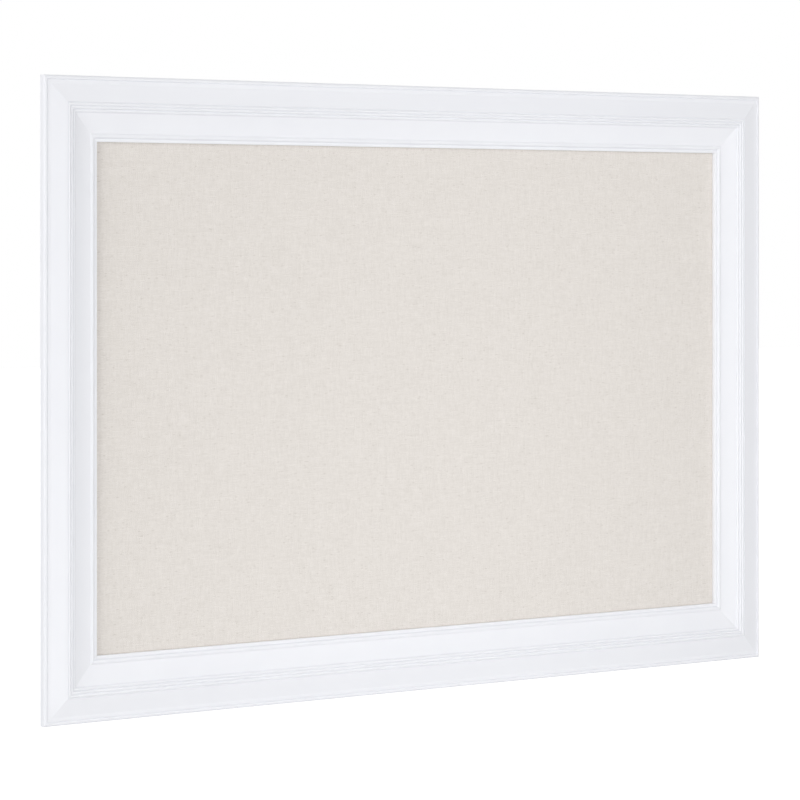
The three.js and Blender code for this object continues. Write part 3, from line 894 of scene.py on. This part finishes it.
def steel_finish(name, dull, bright, shine, cloud):
    """A metal with two tints and two roughnesses, in clouds of that size in metres."""
    finish, tree, shader = new_finish(name, Metallic=1.0)
    spot = add_node(tree, "TexCoord").outputs["Object"]
    clouds = add_node(
        tree, "TexNoise", {"Vector": spot, "Scale": 1 / cloud, "Detail": 4, "Roughness": 0.6}
    )
    tint = add_node(tree, "ValToRGB", {"Fac": clouds.outputs["Fac"]})
    for stop, at, colour in zip(tint.color_ramp.elements, (0.35, 0.65), (dull, bright)):
        stop.position, stop.color = at, linear(colour)
    blur = add_node(
        tree, "MapRange", {"Value": clouds.outputs["Fac"], "To Min": shine[1], "To Max": shine[0]}
    )
    drawn = add_node(tree, "VectorMath", {0: spot, 1: (1, 1, 0.08)}, operation="MULTIPLY")
    marks = add_node(tree, "TexNoise", {"Vector": drawn, "Scale": 1 / ROLL_MARK, "Detail": 1})
    bump = add_node(
        tree, "Bump", {"Height": marks.outputs["Fac"], "Distance": ROLL_DEPTH, "Strength": 0.4}
    )
    for output, socket in ((tint, "Base Color"), (blur, "Roughness"), (bump, "Normal")):
        tree.links.new(output.outputs[0], shader.inputs[socket])
    return finish


zinc = steel_finish("Mild steel, zinc-plated", "A9AFB8", "CDD1D6", (0.24, 0.42), 3 * MM)
spring = steel_finish("Spring steel, hardened and oiled", "4A4744", "6E6C69", (0.3, 0.5), 2 * MM)
print("made", zinc.name, "and", spring.name)

# %% [markdown]
# The V-nails and the framer's points are stamped from sheet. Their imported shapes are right, but
# their edges are knife-sharp, and a stamped edge is slightly rolled. A Bevel modifier adds that
# without changing the mesh.

# %% Stamped pieces
ROLLED_EDGE = 0.1 * MM
points = [name for name in frame["nodes"] if name.startswith("framers_point")]
for names, finish in ((nails, zinc), (points, spring)):
    for name in names:
        refinish(name, finish)
        edge = frame["nodes"][name].modifiers.new("rolled_edge", "BEVEL")
        edge.width = ROLLED_EDGE
        edge.segments = 2
print(len(nails), "V-nails and", len(points), "framer's points")

# %% [markdown]
# ## The D-ring hangers
#
# Each hanger is a strip of steel folded over the bar of a D-ring, then screwed flat to the back.
# The side view of the fold is drawn first, pushed out to the strip's width, and trimmed to a
# rounded end. Bending a flat strip along a curve would work too, but here the fold has to fit the
# ring exactly, and a side view says that in plain numbers.

# %% Side view of the folded strap
# In millimetres.
GAUGE = 1.0  # thickness of the strip
STRAP_WIDTH = 12.6
STRAP_LENGTH = 44.0  # from the ring's bar to the rounded end
SEAT_GAP = 0.3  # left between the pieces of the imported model
LEAF_GAP = 0.3  # between the strip's two leaves
LEAF_BEND = 0.8  # radius where the outer leaf leaves the ring and lies flat
WIRE = 1.4  # radius of the ring's wire
BAR_OUT = SEAT_GAP * 2 + GAUGE + WIRE  # the ring's bar, behind the flat back
STRAP_FACE = SEAT_GAP + GAUGE * 2 + LEAF_GAP
UPPER_DROP, LOWER_DROP = 24.0, 37.0  # screws below the ring's bar


def arc(centre, radius, start, end, steps=20):
    """Points on an arc from one angle to another, in the order that the angles give."""
    angles = [start + (end - start) * k / steps for k in range(steps + 1)]
    return [(centre[0] + radius * math.cos(a), centre[1] + radius * math.sin(a)) for a in angles]


def strap_side_view():
    """[up from the bar, out from the wood] round the folded strip."""
    inner, outer = WIRE + SEAT_GAP, WIRE + SEAT_GAP + GAUGE
    bend_out = STRAP_FACE + LEAF_BEND
    bend_up = -math.sqrt((outer + LEAF_BEND) ** 2 - (bend_out - BAR_OUT) ** 2)
    bend_angle = math.atan2(bend_out - BAR_OUT, bend_up)
    slit = STRAP_FACE - GAUGE
    slit_up = -math.sqrt(inner**2 - (slit - BAR_OUT) ** 2)
    slit_angle = math.atan2(slit - BAR_OUT, slit_up)
    return [
        (-STRAP_LENGTH, SEAT_GAP),
        *arc((0, BAR_OUT), outer, -math.pi / 2, bend_angle, 40),
        *arc((bend_up, bend_out), LEAF_BEND, bend_angle - math.pi, -math.pi / 2, 10)[1:],
        (-STRAP_LENGTH, STRAP_FACE),
        (-STRAP_LENGTH, slit),
        *arc((0, BAR_OUT), inner, slit_angle + 2 * math.pi, -math.pi / 2, 40),
        (-STRAP_LENGTH, SEAT_GAP + GAUGE),
    ]


print("side view:", len(strap_side_view()), "points")

# %% Outlines pushed out to solids
def prism(outline, start, end, axes):
    """Points and faces of an outline pushed from start to end. axes turns (a, b, depth) to a
    point."""
    count = len(outline)
    points = [axes(a, b, depth) for depth in (start, end) for a, b in outline]
    sides = [(i, (i + 1) % count, (i + 1) % count + count, i + count) for i in range(count)]
    return points, [list(range(count)), list(range(count, 2 * count)), *sides]


def as_bmesh(points, faces):
    """A bmesh in metres from points in millimetres, with its faces outwards."""
    work = bmesh.new()
    verts = [work.verts.new(Vector(p) * MM) for p in points]
    for face in faces:
        work.faces.new([verts[i] for i in face])
    bmesh.ops.recalc_face_normals(work, faces=work.faces)
    return work


print("prism of the side view:", len(prism(strap_side_view(), 0, 1, lambda *p: p)[1]), "faces")

# %% Trim the strap's end and bore it for the screws
SCREW_HOLE = 2.0  # radius
TRIM_REACH = 2  # how far the trimming block reaches past the strap
THROUGH = (-2, 8)  # from where to where a cutter runs, out from the wood
SHEARED_EDGE = 0.15


def trim_outline(half):
    """What is cut from the lower end to leave it round: a wide block with a half-round bite."""
    bite = arc((0, half - STRAP_LENGTH), half, math.pi, 2 * math.pi, 40)
    side, top, bottom = half + TRIM_REACH, bite[0][1], -STRAP_LENGTH - TRIM_REACH
    return [(-side, top), *bite, (side, top), (side, bottom), (-side, bottom)]


def strap(name, x, bar_height):
    """The folded strip, trimmed and bored, with its bar at that place."""
    half = STRAP_WIDTH / 2

    def from_the_side(up, out, across):
        return x + across, out, bar_height + up

    def from_the_back(across, up, out):
        return x + across, out, bar_height + up

    made = mesh_piece(name, *prism(strap_side_view(), -half, half, from_the_side), [zinc])
    cut(made, as_bmesh(*prism(trim_outline(half), *THROUGH, from_the_back)))
    for drop in (UPPER_DROP, LOWER_DROP):
        hole = arc((0, -drop), SCREW_HOLE, 0, 2 * math.pi, 32)[1:]
        cut(made, as_bmesh(*prism(hole, *THROUGH, from_the_back)))
    edge = made.modifiers.new("rolled_edge", "BEVEL")
    edge.width = SHEARED_EDGE * MM
    edge.segments = 2
    edge.limit_method = "ANGLE"
    edge.angle_limit = SEEN_EDGE
    return made


print("trim:", len(trim_outline(STRAP_WIDTH / 2)), "points")

# %% Hang the straps on their rings' bars
swings = {joint["child"]: Vector(joint["pos_m"]) / MM for joint in frame["joints"]}
straps = {}
for side in ("left", "right"):
    bar = swings[f"{side}_ring"]
    piece = strap(f"{side}_hanger_strap", bar.x, bar.z)
    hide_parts(f"hanger_strap_{side}")
    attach(piece, "board")
    straps[side] = piece
print("straps:", {side: len(piece.data.polygons) for side, piece in straps.items()}, "faces")

# %% [markdown]
# The ring is a length of round wire bent to a D, with its straight bar through the fold. A curve
# with a round bevel is the shortest way to such a piece: it keeps the wire one thickness all the
# way round. The ring rides on its own body, because it swings, and at rest it leans on the strap.

# %% D-rings
RING_PLAY = 0.5  # between the strap's edge and the ring's arm
BOW = STRAP_WIDTH / 2 + RING_PLAY + WIRE  # radius of the round part
ARM = 4.5  # from the bar to where the bow begins
CORNER = 1.8  # how far each corner of the bar is rounded


def ring_line():
    """[across, up] round the D, hanging below its bar."""

    def bend(start, pull, end):
        """Six points on a curve from start to end that leans towards pull."""
        weights = [((1 - t) ** 2, 2 * t * (1 - t), t * t) for t in (0, 0.2, 0.4, 0.6, 0.8, 1)]
        return [
            tuple(a * u + b * v + c * w for a, b, c in zip(start, pull, end)) for u, v, w in weights
        ]

    left = bend((CORNER - BOW, 0), (-BOW, 0), (-BOW, -CORNER))
    right = bend((BOW, -CORNER), (BOW, 0), (BOW - CORNER, 0))
    return left + arc((0, -ARM), BOW, math.pi, 2 * math.pi, 48) + right


def lean():
    """How far the ring hangs from plumb: its wire rests on the strap's face where the two cross."""
    rise = STRAP_FACE + SEAT_GAP + WIRE - BAR_OUT
    reach = ARM + math.sqrt(BOW**2 - (STRAP_WIDTH / 2) ** 2)
    return math.asin(rise / reach)


for side in ("left", "right"):
    wire = bpy.data.curves.new(f"{side}_d_ring", "CURVE")
    wire.dimensions = "3D"
    wire.bevel_depth = WIRE * MM
    wire.bevel_resolution = 6
    wire.use_fill_caps = True
    line = wire.splines.new("POLY")
    places = ring_line()
    line.points.add(len(places) - 1)
    for point, (across, up) in zip(line.points, places):
        point.co = (across * MM, 0, up * MM, 1)
    line.use_cyclic_u = True
    ring = add_object(wire.name, wire)
    wire.materials.append(zinc)
    to_bar = Matrix.Translation(swings[f"{side}_ring"] * MM)
    ring.matrix_world = to_bar @ Matrix.Rotation(lean(), 4, "X")
    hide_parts(f"hanger_ring_{side}")
    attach(ring, f"{side}_ring")
print(f"rings lean {math.degrees(lean()):.1f} degrees")

# %% [markdown]
# The screws have pan heads with a cross recess. A screw's thread is a ridge that climbs as it goes
# round, so every point of the shank is placed by its own angle and height. A Screw modifier could
# wind a thread, but as a loose ribbon, and rings of points make shank and head in one closed skin.
# The recess is cut by two crossed wedges, narrower at the bottom as the driver's tip is.

# %% Pan-head wood screw
# In millimetres.
SCREW_LENGTH = 12.0
SHANK, CORE = 1.7, 1.15  # radius over the thread and below it
PITCH = 1.4
TIP = 3.2  # length of the point
HEAD_RADIUS, HEAD_HEIGHT, HEAD_SIDE = 3.4, 2.2, 0.7
HEAD_CHAMFER = 0.15
CROWN_STEPS = 8
PINHOLE = 0.05  # radius at which a round piece is closed by a flat face
SCREW_SIDES = 32
head_seat = STRAP_FACE + 0.02  # a hair's breadth off the strap


def thread_radius(up, angle):
    """Radius of the shank at a height above its tip: a ridge once every pitch, gone at the tip."""
    phase = (up / PITCH - angle / (2 * math.pi)) % 1
    ridge = max(0, 1 - abs(phase - 0.5) * 4)
    taper = min(1, max(up, 0.02) / TIP)
    return (CORE + (SHANK - CORE) * ridge) * taper


def screw_rings():
    """[height above the head's seat, radius at an angle] from the tip to the crown."""
    rows = round(SCREW_LENGTH / PITCH * 10)
    heights = [k / rows * SCREW_LENGTH for k in range(rows + 1)]
    rings = [(up - SCREW_LENGTH, lambda a, up=up: thread_radius(up, a)) for up in heights]
    head = ((0, HEAD_RADIUS - HEAD_CHAMFER), (HEAD_CHAMFER, HEAD_RADIUS), (HEAD_SIDE, HEAD_RADIUS))
    rings += [(up, lambda a, radius=radius: radius) for up, radius in head]
    top = SEAT_GAP + HEAD_HEIGHT
    for k in range(1, CROWN_STEPS + 1):
        t = k / CROWN_STEPS
        up = HEAD_SIDE * (1 - t) ** 2 + top * (2 * t * (1 - t) + t * t)
        rings.append((up, lambda a, t=t: HEAD_RADIUS * (1 - t * t) if t < 1 else PINHOLE))
    return rings


print("screw:", len(screw_rings()), "rings of", SCREW_SIDES, "points")

# %% Round pieces from rings of points
def turned_piece(name, x, z, rings, sides, finish):
    """A piece round an axis along Y at x, z. Each ring is how far out it is and its radius at
    an angle."""
    points = []
    for out, radius in rings:
        for k in range(sides):
            a = 2 * math.pi * k / sides
            points.append((x + radius(a) * math.cos(a), out, z + radius(a) * math.sin(a)))
    faces = [list(range(sides)), list(range(len(points) - sides, len(points)))]
    for row in range(len(rings) - 1):
        for k in range(sides):
            here, beside = row * sides + k, row * sides + (k + 1) % sides
            faces.append((here, beside, beside + sides, here + sides))
    return mesh_piece(name, points, faces, [finish])


def screw(name, x, z):
    """A screw whose head sits on the strap, at that place on the back."""
    rings = [(head_seat + up, radius) for up, radius in screw_rings()]
    return turned_piece(name, x, z, rings, SCREW_SIDES, zinc)


print(f"screw heads sit {head_seat:.2f} mm off the wood")

# %% Cut the cross recess and place the screws
RECESS_LENGTH, RECESS_WIDTH, RECESS_DEPTH = 3.8, 0.9, 1.1
RECESS_SHARES = (0.7, 1.15)  # of that length and width: at its bottom, and 1 mm above the head


def recess_wedge(x, z, turned):
    """Points and faces of a wedge across the head that is drawn in towards its bottom."""
    top = head_seat + SEAT_GAP + HEAD_HEIGHT
    points = []
    for out, share in zip((top - RECESS_DEPTH, top + 1), RECESS_SHARES):
        a, b = RECESS_LENGTH / 2 * share, RECESS_WIDTH / 2 * share
        for i, j in ((-a, -b), (a, -b), (a, b), (-a, b)):
            points.append((x + (j if turned else i), out, z + (i if turned else j)))
    flanks = [(0, 1, 5, 4), (1, 2, 6, 5), (2, 3, 7, 6), (3, 0, 4, 7)]
    return points, [(0, 1, 2, 3), (4, 5, 6, 7), *flanks]


for side in ("left", "right"):
    bar = swings[f"{side}_ring"]
    for row, drop in (("upper", UPPER_DROP), ("lower", LOWER_DROP)):
        piece = screw(f"{side}_{row}_pan_head_screw", bar.x, bar.z - drop)
        for turned in (False, True):
            cut(piece, as_bmesh(*recess_wedge(bar.x, bar.z - drop, turned)))
        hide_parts(f"hanger_screw_{side}_{row}")
        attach(piece, "board")
print("screws: 4")

# %% [markdown]
# ## The bumpers
#
# Two small domes of clear silicone keep the lower edge off the wall. They are moulded on a sheet
# with a flat sticky base and a low curved rim. Half a sphere would be too tall and have no rim, so
# they are made as the screws are, by rings that follow a profile. Silicone is see-through but
# never perfectly clear, so the material lets light through and blurs it a little.

# %% Clear silicone
HAZE = 1.5 * MM  # across one cloudy patch
silicone, tree, shader = new_finish(
    "Silicone, moulded clear", IOR=1.41, Transmission_Weight=0.85, Specular_IOR_Level=0.5
)
spot = add_node(tree, "TexCoord").outputs["Object"]
haze = add_node(tree, "TexNoise", {"Vector": spot, "Scale": 1 / HAZE, "Detail": 3})
milk = add_node(tree, "ValToRGB", {"Fac": haze.outputs["Fac"]})
for stop, colour in zip(milk.color_ramp.elements, ("E6E8E4", "F4F5F2")):
    stop.color = linear(colour)
blur = add_node(tree, "MapRange", {"Value": haze.outputs["Fac"], "To Min": 0.12, "To Max": 0.3})
tree.links.new(milk.outputs[0], shader.inputs["Base Color"])
tree.links.new(blur.outputs[0], shader.inputs["Roughness"])
print("made", silicone.name)

# %% Bumpers
BUMPER_BASE = 0.02  # a hair's breadth off the wood, in mm as the rest
BUMPER_RIM = 0.9  # height of the upright part
DOME_STEPS = 12
BUMPER_SIDES = 48


def bumper(name, low, high):
    """A dome that fills a box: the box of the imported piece, brought down on to the wood."""
    low, high = low / MM, high / MM
    centre = (low + high) / 2
    radius, top = (high.x - low.x) / 2, high.y
    shoulder = BUMPER_BASE + BUMPER_RIM
    profile = [(BUMPER_BASE, radius - 0.3), (BUMPER_BASE + 0.2, radius), (shoulder, radius)]
    for k in range(1, DOME_STEPS):
        t = k / DOME_STEPS
        out = shoulder * (1 - t) ** 2 + top * (2 * t * (1 - t) + t * t)
        profile.append((out, radius * (1 - t * t)))
    profile.append((top, PINHOLE))
    rings = [(out, lambda a, r=r: r) for out, r in profile]
    return turned_piece(name, centre.x, centre.z, rings, BUMPER_SIDES, silicone)


for side in ("left", "right"):
    piece = bumper(f"{side}_bumper_dome", *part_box(f"wall_bumper_{side}"))
    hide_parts(f"wall_bumper_{side}")
    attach(piece, "board")
print("bumpers: 2")

# %% [markdown]
# ## The end
#
# The box round the finished pieces is measured, as the box of the imported model was at the
# start, and its size is printed.

# %% Print the sizes
low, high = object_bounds()
print("finished board in mm:", [round(side / MM, 1) for side in high - low])
